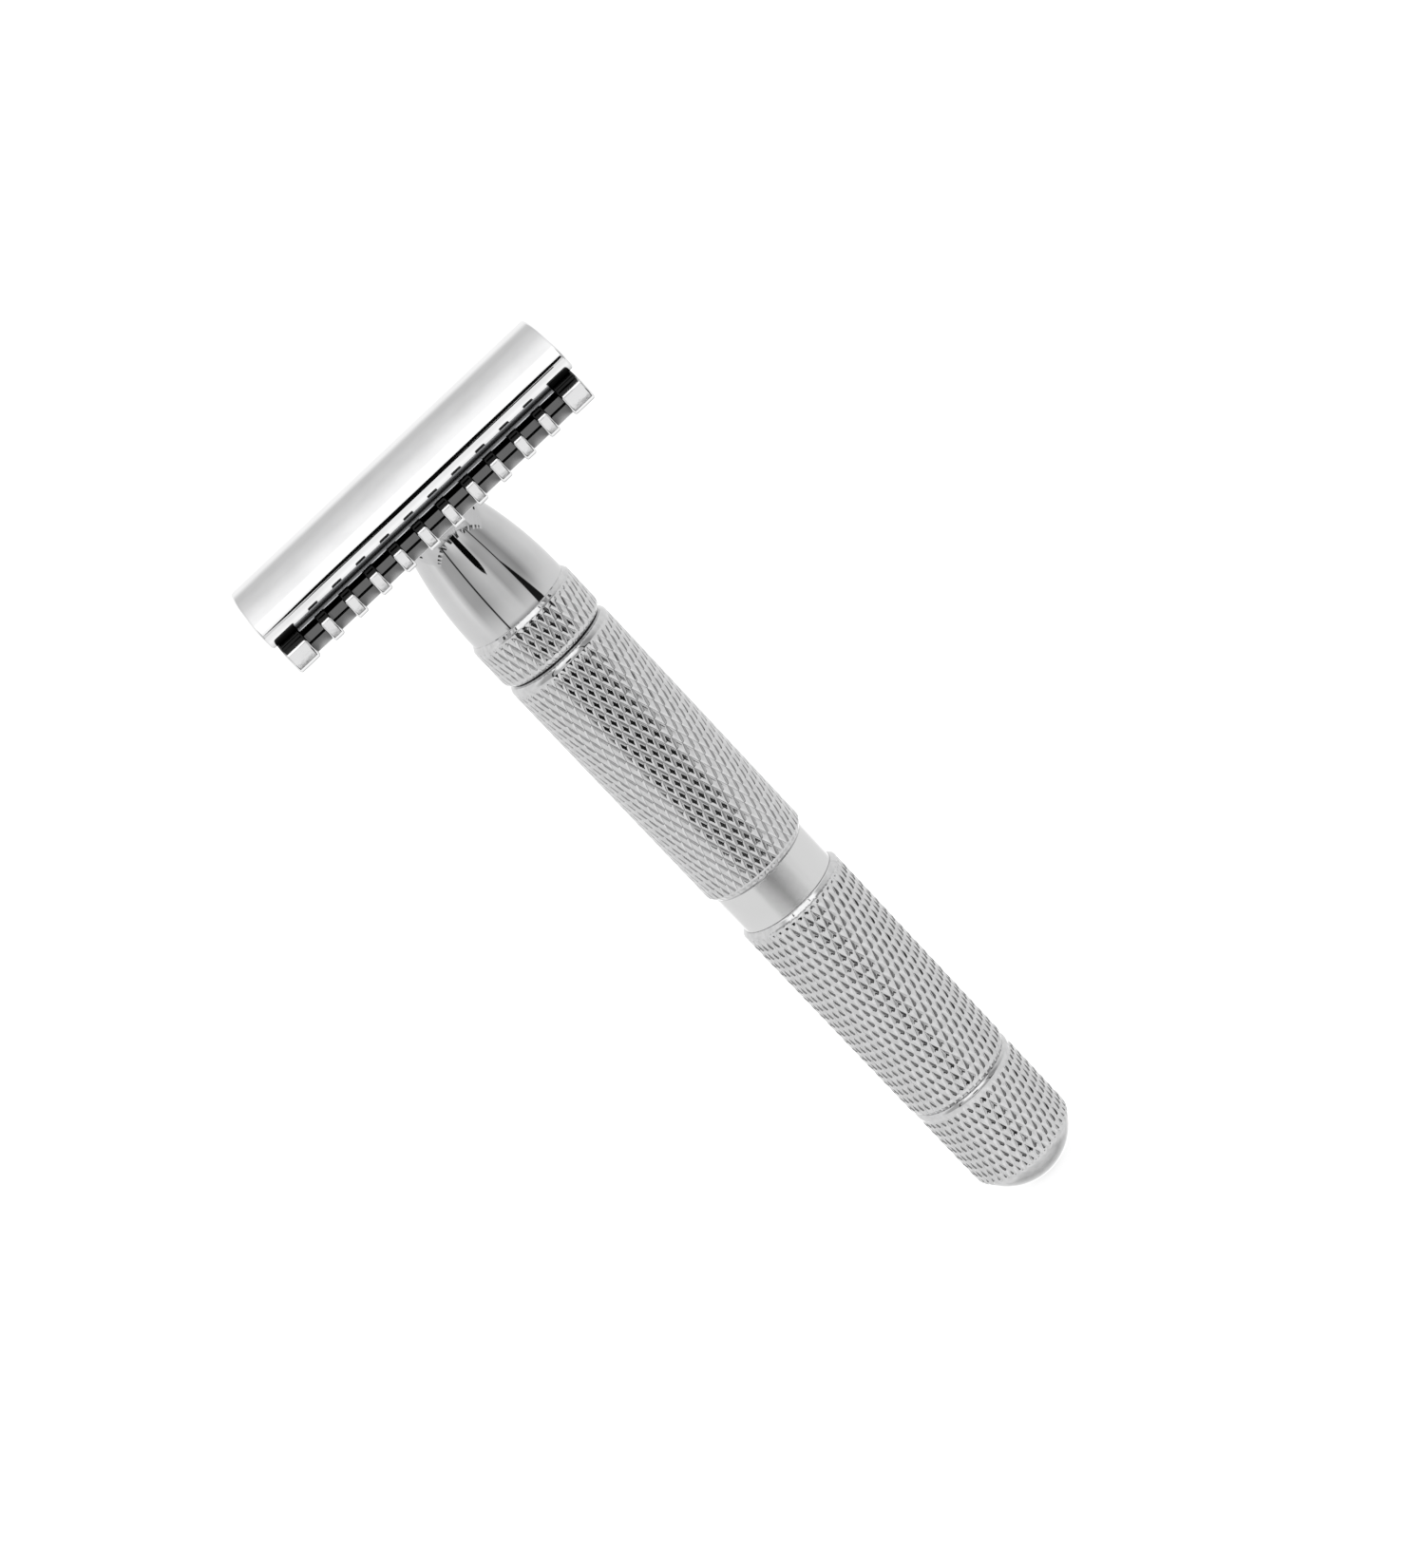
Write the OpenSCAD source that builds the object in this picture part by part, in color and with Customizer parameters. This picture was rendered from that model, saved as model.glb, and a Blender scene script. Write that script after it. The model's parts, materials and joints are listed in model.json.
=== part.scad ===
// Open-comb safety razor for a double-edge blade, with a twist knob at the end of the handle.
// The handle axis is Z, the head lies along X, and the origin is the bottom of the knob's dome.
// Turning the knob turns a draw rod, whose threaded socket pulls the cap down onto the blade.

/* [Cap] */
// Length of the cap along the blade
cap_len = 43.4; // [43.2:0.1:45]
// Width of the cap over its two rolled edges
cap_w = 21.2; // [20.8:0.1:21.6]
// Radius of the rolled edge on each long side
cap_roll_r = 1.95; // [1.8:0.05:2.1]
// Height of the crown above the centre of the rolled edges
cap_rise = 4; // [3.8:0.1:4.4]

/* [Blade] */
// Length of a standard double-edge blade
blade_len = 42.9; // [42.5:0.1:43]
// Width of the blade when it is flat
blade_w = 21.9; // [21.8:0.1:22]
// Thickness of the blade
blade_t = 0.1; // [0.08:0.01:0.12]
// Radius that the clamped blade is bent to
bend_r = 27.2; // [26.5:0.1:28]

/* [Comb plate] */
// Length of the comb plate along the blade
comb_len = 42.4; // [42.2:0.1:43]
// Depth of the comb plate over the tips of the teeth
comb_depth = 24.4; // [24:0.1:25]
// Number of narrow teeth on each side
tooth_count = 10; // [10:2:10]
// Distance from one narrow tooth to the next
tooth_pitch = 3.46; // [3.4:0.01:3.5]
// Width of a narrow tooth
tooth_w = 1.37; // [1.2:0.01:1.5]
// Width of the broad tooth at each end
end_tooth_w = 2.86; // [2.6:0.01:3]

/* [Handle] */
// Outside diameter of the knurled grips
grip_d = 13.84; // [13.8:0.02:14.2]
// Outside diameter of the end knob
knob_d = 13.74; // [13.6:0.02:13.76]
// Outside diameter of the smooth centre band
band_d = 12.72; // [12.4:0.02:13]
// Diameter of the neck where it meets the collar
neck_d = 13; // [12.8:0.1:13.2]
// Radius of the curve that narrows the neck towards the comb plate
neck_curve_r = 44; // [42:1:60]

/* [Lengths along the handle] */
// Height of the knob with its dome
knob_h = 16.25; // [16:0.05:18]
// Height of the dome at the bottom of the knob
dome_h = 4.65; // [4:0.05:5]
// Length of the lower grip
lower_grip_h = 30.4; // [28:0.1:36]
// Length of the centre band
band_h = 5.2; // [4:0.1:7]
// Length of the upper grip
upper_grip_h = 34.1; // [30:0.1:40]
// Length of the knurled collar
collar_h = 6.2; // [5:0.1:7]
// Length of the neck
neck_h = 13.1; // [13:0.1:15]
// Height of the comb plate at the tips of its teeth
tip_h = 2.5; // [2.4:0.1:2.8]

/* [Mechanism] */
// Diameter of the cap's stud, an M5 screw less its running clearance
stud_d = 4.9; // [4.8:0.05:4.9]
// Lead of the stud's thread
thread_lead = 0.8; // [0.7:0.05:0.8]
// Turns of the knob that free the cap
opening_turns = 7; // [4:1:7]
// Diameter of the draw rod
rod_d = 4; // [3.6:0.1:4]
// Diameter of the cap's two locating pins
pin_d = 2.9; // [2.6:0.1:2.9]
// Distance between the centres of the locating pins
pin_spacing = 26; // [24:0.5:28]
// Radial clearance where a piece turns or slides in another
running_gap = 0.05; // [0.03:0.01:0.07]
// Clearance where two fixed pieces meet
seat_gap = 0.02; // [0.01:0.01:0.03]

/* [Hidden] */
$fn = 96;
tiny = 0.01;

// Heights of the joints between the pieces
lower_grip_z = knob_h + running_gap;
band_z = lower_grip_z + lower_grip_h;
upper_grip_z = band_z + band_h;
collar_z = upper_grip_z + upper_grip_h;
neck_z = collar_z + collar_h;
plate_z = neck_z + neck_h;

// The bend of the blade: its axis lies below the head, and the teeth end on the same curve
tip_y = comb_depth / 2;
bend_z = plate_z + tip_h - sqrt(pow(bend_r, 2) - pow(tip_y, 2));
blade_r = bend_r + seat_gap;
cap_under_r = blade_r + blade_t + seat_gap;
blade_half_angle = blade_w / 2 / blade_r * 180 / PI;
blade_z = bend_z + blade_r;

// The crown of the cap is an arc that runs smoothly into the rolled edges
roll_y = cap_w / 2 - cap_roll_r;
lip_rise = 1.42;
lip_y = roll_y + sqrt(pow(cap_roll_r, 2) - pow(lip_rise, 2));
roll_z = bend_z + sqrt(pow(cap_under_r, 2) - pow(lip_y, 2)) + lip_rise;
crown_excess = cap_rise - cap_roll_r;
crown_drop = (pow(roll_y, 2) - pow(crown_excess, 2)) / (2 * crown_excess);
crown_r = cap_rise + crown_drop;
crown_y = roll_y * crown_r / (crown_r - cap_roll_r);
crown_top = roll_z + cap_rise;

// The face between the teeth steps back twice on its way up
ledge_y = 9.5;
ledge_h = 1.3;
root_y = 9.1;
root_h = 2.3;
shoulder_y = 8.4;
tooth_round = 0.5;

// The handle from the axis outwards
rod_r = rod_d / 2;
bush_bore_r = rod_r + running_gap;
tube_bore_r = 4.62;
tube_r = 5.4;
sleeve_bore_r = tube_r + seat_gap;
grip_r = grip_d / 2;
knob_r = knob_d / 2;
edge_r = 0.6;
groove_depth = 0.5;
band_bevel = 0.55;
round_steps = 6;

// The draw rod and the pieces on it
socket_r = 3.2;
socket_h = 12;
socket_top = plate_z - 1.3;
socket_z = socket_top - socket_h;
socket_bore_r = stud_d / 2 + running_gap;
neck_bore_r = 3.6;
lift = opening_turns * thread_lead;
stud_z = socket_top - lift - 0.1;
stud_top = crown_top - 1.7;
thread_depth = lift + 2.4;
rod_seat = 3.2;
rod_top = socket_z + rod_seat;
rod_z = 6;
spigot_r = tube_bore_r - seat_gap;
spigot_h = 10;
head_spigot_r = 4.05;
head_spigot_h = 1.2;
bush_h = 6;
flange_h = 0.95;
flange_z = lower_grip_z + 1;
tube_z = flange_z + flange_h + seat_gap;
lower_bush_top = tube_z + 7.7;
washer_h = 0.85;
spring_h = 1.2;
spring_t = 0.35;
spring_r = 3.9;
clip_z = lower_bush_top + spring_h + 3 * running_gap;
clip_h = 0.6;
clip_r = 3.6;
clip_groove_r = 1.5;
nut_flats = 7;
nut_h = 3.2;
nut_well_r = 4.3;
cross_pin_d = 1.2;
cross_pin_z = socket_z + rod_seat / 2;

// Runs a shape drawn in Y and Z along X
module along_x(length) {
    rotate([90, 0, 90])
        linear_extrude(height = length, center = true)
            children();
}

// A ring about the handle axis
module ring(outer_r, bore_r, height) {
    difference() {
        cylinder(r = outer_r, h = height);
        translate([0, 0, -tiny])
            cylinder(r = bore_r, h = height + 2 * tiny);
    }
}

// Points of a quarter round, from the outer face in to the end face
function quarter_round(centre_r, centre_z, round_r, from_angle) = [
    for (i = [0 : round_steps])
        let (a = from_angle + i * 90 / round_steps)
            [centre_r + round_r * cos(a), centre_z + round_r * sin(a)]
];

// The two locating pins or their holes
module at_pins() {
    for (side = [-1, 1])
        translate([side * pin_spacing / 2, 0, 0])
            children();
}

// A disc whose edge is the bend of the blade, at a chosen radius
module bend_disc(radius) {
    translate([0, bend_z])
        circle(r = radius, $fn = 180);
}

module cap_profile() {
    difference() {
        union() {
            intersection() {
                translate([0, crown_top - crown_r])
                    circle(r = crown_r, $fn = 180);
                translate([-crown_y, roll_z])
                    square([2 * crown_y, crown_r]);
            }
            for (side = [-1, 1])
                translate([side * roll_y, roll_z])
                    circle(r = cap_roll_r);
            translate([-roll_y, roll_z - cap_roll_r])
                square([2 * roll_y, cap_roll_r]);
        }
        bend_disc(cap_under_r);
    }
}

module top_cap() {
    color("silver")
        difference() {
            along_x(cap_len)
                cap_profile();
            cylinder(r = stud_d / 2 + seat_gap, h = stud_top + seat_gap);
            at_pins()
                cylinder(r = pin_d / 2 + seat_gap, h = stud_top + seat_gap);
        }
}

module cap_stud() {
    color("gainsboro")
        translate([0, 0, stud_z])
            cylinder(d = stud_d, h = stud_top - stud_z);
}

module locating_pins() {
    pin_z = blade_z - 3.4;
    color("gainsboro")
        at_pins()
            translate([0, 0, pin_z])
                cylinder(d = pin_d, h = stud_top - pin_z);
}

module blade() {
    slot_len = 36;
    slot_w = 1.6;
    centre_hole_d = 5.6;
    pin_hole_d = 3.3;
    notch = [3.1, 3.9];
    color("lightsteelblue")
        difference() {
            translate([0, 0, bend_z])
                rotate([0, -90, 0])
                    rotate([0, 0, -blade_half_angle])
                        rotate_extrude(angle = 2 * blade_half_angle, $fn = 180)
                            translate([blade_r, -blade_len / 2])
                                square([blade_t, blade_len]);
            translate([0, 0, plate_z]) {
                cylinder(d = centre_hole_d, h = bend_r);
                at_pins()
                    cylinder(d = pin_hole_d, h = bend_r);
                translate([-slot_len / 2, -slot_w / 2, 0])
                    cube([slot_len, slot_w, bend_r]);
                for (x = [-1, 1], y = [-1, 1])
                    translate([x * blade_len / 2, y * blade_w / 2, bend_r / 2])
                        cube([2 * notch[0], 2 * notch[1], bend_r], center = true);
            }
        }
}

// The plate between the teeth
module plate_profile() {
    intersection() {
        bend_disc(bend_r);
        union() {
            translate([-ledge_y, plate_z])
                square([2 * ledge_y, ledge_h]);
            translate([-root_y, plate_z])
                square([2 * root_y, root_h]);
            polygon([
                [-root_y, plate_z + root_h], [root_y, plate_z + root_h],
                [shoulder_y, plate_z + root_h + root_y - shoulder_y],
                [shoulder_y, blade_z], [-shoulder_y, blade_z],
                [-shoulder_y, plate_z + root_h + root_y - shoulder_y]
            ]);
        }
    }
}

// The plate and a pair of teeth, seen from the end
module tooth_profile() {
    intersection() {
        bend_disc(bend_r);
        union() {
            translate([-tip_y, plate_z + tooth_round])
                square([2 * tip_y, bend_r]);
            translate([-tip_y + tooth_round, plate_z])
                square([2 * (tip_y - tooth_round), 2 * tooth_round]);
            for (side = [-1, 1])
                translate([side * (tip_y - tooth_round), plate_z + tooth_round])
                    circle(r = tooth_round);
        }
    }
}

module comb_plate() {
    first_tooth = -(tooth_count - 1) / 2 * tooth_pitch;
    color("silver")
        difference() {
            union() {
                along_x(comb_len)
                    plate_profile();
                for (i = [0 : tooth_count - 1])
                    translate([first_tooth + i * tooth_pitch, 0, 0])
                        along_x(tooth_w)
                            tooth_profile();
                for (side = [-1, 1])
                    translate([side * (comb_len - end_tooth_w) / 2, 0, 0])
                        along_x(end_tooth_w)
                            tooth_profile();
            }
            translate([0, 0, plate_z - tiny]) {
                cylinder(r = stud_d / 2 + 3 * running_gap, h = bend_r);
                cylinder(r = head_spigot_r + seat_gap, h = head_spigot_h + seat_gap + tiny);
                at_pins()
                    cylinder(r = pin_d / 2 + running_gap, h = bend_r);
            }
        }
}

module neck() {
    color("silver")
        difference() {
            union() {
                translate([0, 0, neck_z])
                    rotate_extrude()
                        intersection() {
                            translate([neck_d / 2 - neck_curve_r, 0])
                                circle(r = neck_curve_r, $fn = 360);
                            square([neck_d, neck_h - seat_gap]);
                        }
                translate([0, 0, neck_z - spigot_h])
                    cylinder(r = spigot_r, h = spigot_h + tiny);
                translate([0, 0, plate_z - 2 * seat_gap])
                    cylinder(r = head_spigot_r, h = head_spigot_h + 2 * seat_gap);
            }
            translate([0, 0, neck_z - spigot_h - tiny])
                cylinder(r = neck_bore_r, h = spigot_h + neck_h + head_spigot_h + 2);
        }
}

// The collar is bevelled at its top and rounded at its bottom, which makes a groove with the grip
module knurled_collar() {
    bevel = grip_r - neck_d / 2;
    round_r = 2 * groove_depth;
    bottom = collar_z + seat_gap;
    color("lightgrey")
        rotate_extrude()
            polygon(concat(
                [[tube_bore_r, neck_z - seat_gap], [tube_bore_r, bottom]],
                quarter_round(grip_r - round_r, bottom + round_r, round_r, -90),
                [[grip_r, neck_z - bevel], [neck_d / 2, neck_z - seat_gap]]
            ));
}

module core_tube() {
    color("goldenrod")
        translate([0, 0, tube_z])
            ring(tube_r, tube_bore_r, collar_z - tube_z);
}

module upper_grip_sleeve() {
    round_r = edge_r + groove_depth / 2;
    top = collar_z;
    bottom = upper_grip_z + seat_gap;
    bevel = grip_r - band_d / 2;
    color("lightgrey")
        rotate_extrude()
            polygon(concat(
                [[sleeve_bore_r, bottom], [band_d / 2, bottom], [grip_r, bottom + bevel * 1.5]],
                quarter_round(grip_r - round_r, top - round_r, round_r, 0),
                [[sleeve_bore_r, top]]
            ));
}

module centre_band() {
    color("whitesmoke")
        translate([0, 0, band_z + seat_gap])
            ring(band_d / 2, sleeve_bore_r, band_h - seat_gap);
}

module lower_grip_sleeve() {
    foot = 0.25;
    color("lightgrey")
        rotate_extrude()
            polygon([
                [sleeve_bore_r, lower_grip_z], [grip_r - foot, lower_grip_z],
                [grip_r, lower_grip_z + 2 * foot], [grip_r, band_z - band_bevel],
                [grip_r - band_bevel, band_z], [sleeve_bore_r, band_z]
            ]);
}

module upper_rod_bush() {
    color("darkgoldenrod")
        translate([0, 0, neck_z - spigot_h - seat_gap - bush_h])
            ring(spigot_r, bush_bore_r, bush_h);
}

module lower_rod_bush() {
    color("darkgoldenrod")
        difference() {
            union() {
                translate([0, 0, flange_z])
                    cylinder(r = tube_r - seat_gap, h = flange_h);
                translate([0, 0, flange_z])
                    cylinder(r = spigot_r, h = lower_bush_top - flange_z);
            }
            translate([0, 0, flange_z - tiny])
                cylinder(r = bush_bore_r, h = lower_bush_top - flange_z + 2 * tiny);
        }
}

module thrust_washer() {
    color("ivory")
        translate([0, 0, flange_z - seat_gap - washer_h])
            ring(tube_r - 2 * seat_gap, bush_bore_r, washer_h);
}

// A cone-shaped spring washer between the lower bush and the clip
module spring_washer() {
    foot = lower_bush_top + running_gap;
    color("slategray")
        rotate_extrude()
            polygon([
                [spring_r, foot], [spring_r, foot + spring_t],
                [bush_bore_r + running_gap, foot + spring_h],
                [bush_bore_r + running_gap, foot + spring_h - spring_t]
            ]);
}

module retaining_clip() {
    mouth = 1.9;
    color("dimgray")
        translate([0, 0, clip_z])
            difference() {
                ring(clip_r, clip_groove_r + seat_gap, clip_h);
                translate([0, -mouth / 2, -tiny])
                    cube([clip_r + 1, mouth, clip_h + 2 * tiny]);
            }
}

module draw_rod() {
    color("darkgray")
        difference() {
            translate([0, 0, rod_z])
                cylinder(r = rod_r, h = rod_top - rod_z);
            translate([0, 0, clip_z - seat_gap])
                ring(rod_r + 1, clip_groove_r, clip_h + 2 * seat_gap);
            cross_pin_hole();
        }
}

// The socket holds the rod in its lower end and the cap's stud in its upper end
module thread_socket() {
    color("goldenrod")
        difference() {
            translate([0, 0, socket_z])
                cylinder(r = socket_r, h = socket_h);
            translate([0, 0, socket_z - tiny])
                cylinder(r = rod_r + seat_gap, h = rod_seat + seat_gap + tiny);
            translate([0, 0, socket_top - thread_depth])
                cylinder(r = socket_bore_r, h = thread_depth + tiny);
            cross_pin_hole();
        }
}

module cross_pin_hole() {
    translate([0, 0, cross_pin_z])
        rotate([0, 90, 0])
            cylinder(d = cross_pin_d + 2 * seat_gap, h = 4 * socket_r, center = true);
}

module socket_pin() {
    color("dimgray")
        translate([0, 0, cross_pin_z])
            rotate([0, 90, 0])
                cylinder(d = cross_pin_d, h = 2 * socket_r - 0.2, center = true);
}

module rod_lock_nut() {
    color("dimgray")
        translate([0, 0, knob_h - nut_h - 0.2])
            difference() {
                cylinder(d = nut_flats / cos(30), h = nut_h, $fn = 6);
                translate([0, 0, -tiny])
                    cylinder(r = rod_r + seat_gap, h = nut_h + 2 * tiny);
            }
}

// The knob's dome is a slice of a sphere, and the top edge is rounded above the knurling
module end_knob() {
    dome_r = (pow(knob_r, 2) + pow(dome_h, 2)) / (2 * dome_h);
    round_r = edge_r;
    color("lightgrey")
        difference() {
            union() {
                intersection() {
                    translate([0, 0, dome_r])
                        sphere(r = dome_r);
                    cylinder(r = knob_r, h = dome_h);
                }
                translate([0, 0, dome_h])
                    rotate_extrude()
                        polygon(concat(
                            [[0, 0], [knob_r, 0]],
                            quarter_round(knob_r - round_r, knob_h - dome_h - round_r, round_r, 0),
                            [[0, knob_h - dome_h]]
                        ));
            }
            translate([0, 0, rod_z - seat_gap])
                cylinder(r = rod_r + seat_gap, h = knob_h);
            translate([0, 0, knob_h - nut_h - 0.2 - seat_gap])
                cylinder(r = nut_well_r, h = nut_h + 1);
        }
}

top_cap();
cap_stud();
locating_pins();
blade();
comb_plate();
neck();
knurled_collar();
core_tube();
upper_grip_sleeve();
centre_band();
lower_grip_sleeve();
upper_rod_bush();
lower_rod_bush();
thrust_washer();
spring_washer();
retaining_clip();
draw_rod();
thread_socket();
socket_pin();
rod_lock_nut();
end_knob();
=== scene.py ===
"""The looks of an open-comb safety razor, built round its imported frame, in metres and degrees."""

import json
import math

import bpy
import numpy as np
from mathutils import Matrix, Vector


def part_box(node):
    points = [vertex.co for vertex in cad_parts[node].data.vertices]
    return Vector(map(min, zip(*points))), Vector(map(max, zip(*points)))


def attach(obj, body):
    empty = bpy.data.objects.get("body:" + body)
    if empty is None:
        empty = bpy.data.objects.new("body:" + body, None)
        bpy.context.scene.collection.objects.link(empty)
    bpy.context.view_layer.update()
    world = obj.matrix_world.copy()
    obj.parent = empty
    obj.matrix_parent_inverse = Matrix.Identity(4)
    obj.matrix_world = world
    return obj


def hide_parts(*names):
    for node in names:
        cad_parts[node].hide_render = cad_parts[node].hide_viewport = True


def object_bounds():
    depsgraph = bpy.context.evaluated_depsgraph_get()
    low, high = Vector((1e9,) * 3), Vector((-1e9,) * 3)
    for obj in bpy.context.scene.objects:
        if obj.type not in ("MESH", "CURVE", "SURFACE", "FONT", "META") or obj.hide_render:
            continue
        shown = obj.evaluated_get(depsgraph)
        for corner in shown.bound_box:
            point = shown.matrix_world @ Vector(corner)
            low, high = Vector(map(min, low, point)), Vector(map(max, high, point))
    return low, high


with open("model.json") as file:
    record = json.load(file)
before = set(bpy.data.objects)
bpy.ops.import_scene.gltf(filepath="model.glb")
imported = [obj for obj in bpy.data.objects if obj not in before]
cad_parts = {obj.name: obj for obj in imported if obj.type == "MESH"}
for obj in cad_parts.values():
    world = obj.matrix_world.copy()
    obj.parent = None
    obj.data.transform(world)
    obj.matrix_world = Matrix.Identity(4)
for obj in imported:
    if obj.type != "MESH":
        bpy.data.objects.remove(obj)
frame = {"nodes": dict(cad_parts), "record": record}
cad_low, cad_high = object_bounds()

MM = 0.001

# ---------------------------------------------------------------- driving dimensions

KNURL_STARTS = 42
KNURL_HELIX = 20
KNURL_CELLS = 12
PLAIN_COLUMNS = 192

EDGE_STEPS = 5
ARC_STEP = 3
NECK_STEP = 0.5

CAP_ROLL_R = 1.95 * MM
CAP_RISE = 4 * MM
CAP_EDGE = 0.3 * MM
UNDER_GAP = 0.02 * MM

TOOTH_COUNT = 10
TOOTH_PITCH = 3.46 * MM
TOOTH_W = 1.37 * MM
END_TOOTH_W = 2.86 * MM
TOOTH_EDGE = 0.25 * MM
END_TOOTH_EDGE = 0.3 * MM
TIP_H = 2.5 * MM

NECK_CURVE_R = 44 * MM
NECK_FOOT_R = 6.5 * MM

THREAD_LEAD = 0.8 * MM
THREAD_DEPTH = 0.45 * MM

# ---------------------------------------------------------------- places, read from the frame


def reach(node):
    """The greatest radius of a round node about the handle axis."""
    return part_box(node)[1].x


def span(node):
    """The lowest and highest point of a node."""
    low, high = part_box(node)
    return low.z, high.z


# ---------------------------------------------------------------- shader nodes


def add_node(tree, kind, inputs=None, **settings):
    """Adds a shader node. inputs maps an input's name or number to a value or to another node's output."""
    made = tree.nodes.new(kind)
    for name, value in settings.items():
        setattr(made, name, value)
    for key, value in (inputs or {}).items():
        value = getattr(value, "socket", value)
        if isinstance(value, bpy.types.NodeSocket):
            tree.links.new(value, made.inputs[key])
        else:
            made.inputs[key].default_value = value
    return made


class Field:
    """A number that shader nodes work out, so that a formula can be written as one."""

    def __init__(self, tree, socket):
        self.tree = tree
        self.socket = socket

    def math(self, operation, *others):
        inputs = dict(enumerate((self, *others)))
        made = add_node(self.tree, "ShaderNodeMath", inputs, operation=operation)
        return Field(self.tree, made.outputs[0])

    def __add__(self, other):
        return self.math("ADD", other)

    def __sub__(self, other):
        return self.math("SUBTRACT", other)

    def __mul__(self, other):
        return self.math("MULTIPLY", other)

    def __abs__(self):
        return self.math("ABSOLUTE")

    def smooth(self, start, end, low=0.0, high=1.0):
        """Turns smoothly from low at start to high at end."""
        inputs = {"Value": self, "From Min": start, "From Max": end, "To Min": low, "To Max": high}
        made = add_node(self.tree, "ShaderNodeMapRange", inputs, interpolation_type="SMOOTHSTEP")
        return Field(self.tree, made.outputs["Result"])

    def mix(self, other, share):
        """This number where share is 0, and the other where it is 1."""
        made = add_node(self.tree, "ShaderNodeMix", {0: share, 2: self, 3: other})
        return Field(self.tree, made.outputs[0])

    def ramp(self, stops):
        """Follows straight lines through (value, grey) stops, whose greys run from 0 to 255 as on screen."""
        low, high = stops[0][0], stops[-1][0]
        made = add_node(self.tree, "ShaderNodeValToRGB", {0: (self - low) * (1 / (high - low))})
        points = made.color_ramp.elements
        for place, grey in stops[1:-1]:
            points.new((place - low) / (high - low))
        for point, (place, grey) in zip(points, stops):
            point.position = (place - low) / (high - low)
            point.color = [linear(grey)] * 3 + [1]
        return Field(self.tree, made.outputs["Color"])


def linear(grey):
    """The light level of a screen grey from 0 to 255."""
    return (grey / 255) ** 2.2


def grey(level):
    return (level, level, level, 1)


class Finish:
    """A material round one Principled node, with the nodes that vary it."""

    def __init__(self, name, metallic=1.0):
        self.material = bpy.data.materials.new(name)
        self.material.use_nodes = True
        self.tree = self.material.node_tree
        self.surface = self.tree.nodes["Principled BSDF"]
        self.surface.inputs["Metallic"].default_value = metallic
        coordinates = add_node(self.tree, "ShaderNodeTexCoord")
        self.place = coordinates.outputs["Object"]

    def stretched(self, x, y, z):
        made = add_node(self.tree, "ShaderNodeMapping", {"Vector": self.place, "Scale": (x, y, z)})
        return made.outputs[0]

    def noise(self, scale, detail=3.0, place=None):
        inputs = {"Vector": place or self.place, "Scale": scale, "Detail": detail}
        made = add_node(self.tree, "ShaderNodeTexNoise", inputs)
        return Field(self.tree, made.outputs["Fac"])

    def openness(self, distance, samples=8):
        """How much of the sky a point sees past whatever is closer than the distance."""
        made = add_node(self.tree, "ShaderNodeAmbientOcclusion", {"Distance": distance}, samples=samples)
        return Field(self.tree, made.outputs["AO"])

    def axes(self, name):
        """The x, y and z parts of the surface's Position or Normal."""
        geometry = add_node(self.tree, "ShaderNodeNewGeometry")
        split = add_node(self.tree, "ShaderNodeSeparateXYZ", {0: geometry.outputs[name]})
        return [Field(self.tree, socket) for socket in split.outputs]

    def upward(self):
        """The upward part of the surface's direction, from -1 to 1."""
        return self.axes("Normal")[2]

    def lean(self, middle, blend):
        """How far a wall round the handle axis leans towards the plane x = middle."""
        x, y = self.axes("Position")[:2]
        towards_x, towards_y = self.axes("Normal")[:2]
        side = (x - middle).smooth(-blend, blend, 1.0, -1.0)
        radius = (x * x + y * y).math("SQRT")
        return (towards_y * x - towards_x * y) * side.math("DIVIDE", radius)

    def attribute(self, name):
        made = add_node(self.tree, "ShaderNodeAttribute", attribute_name=name)
        return Field(self.tree, made.outputs["Fac"])

    def tint(self, amount, low, high):
        """The colour runs from low to high as amount runs from 0 to 1."""
        inputs = {0: amount, 6: (*low, 1), 7: (*high, 1)}
        made = add_node(self.tree, "ShaderNodeMix", inputs, data_type="RGBA")
        self.tree.links.new(made.outputs[2], self.surface.inputs["Base Color"])

    def roughness(self, amount):
        self.tree.links.new(amount.socket, self.surface.inputs["Roughness"])

    def bump(self, height, depth, strength=1.0):
        inputs = {"Height": height, "Distance": depth, "Strength": strength}
        made = add_node(self.tree, "ShaderNodeBump", inputs)
        self.tree.links.new(made.outputs[0], self.surface.inputs["Normal"])


# ---------------------------------------------------------------- materials

BLACK = (0, 0, 0)
CHROME = (0.995, 0.995, 1.0)
# How far the painted crevice shade of the chrome and steel finishes looks for neighbours.
CREVICE_SHADE_REACH = 1 * MM
COMB_SHADE_REACH = 6 * MM
COMB_SHADE_SAMPLES = 32
COMB_BRIGHTNESS = 0.86
# Where the painted shade on the knurl's upward groove flanks centres, and how softly it turns.
FLANK_SHADE_MIDDLE = 0.7 * MM
FLANK_SHADE_BLEND = 0.6 * MM


def polished_chrome(name, brightness, clear):
    """Mirror chrome, with painted shade that darkens it where neighbours leave less than clear of the sky
    open to it.
    """
    finish = Finish(name)
    smudges = finish.noise(260)
    light = smudges.smooth(0.2, 0.7, 0.92, 1.0)
    # Painted shade: darker in crevices and at joints, from ambient occlusion.
    light = light * finish.openness(CREVICE_SHADE_REACH).smooth(clear - 0.3, clear, 0.06, 1.0)
    finish.tint(light, BLACK, [brightness * s for s in CHROME])
    finish.roughness(smudges.smooth(0.3, 0.75, 0.02, 0.05))
    finish.bump(finish.noise(900, 4), 0.002 * MM, 0.2)
    return finish.material


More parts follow.
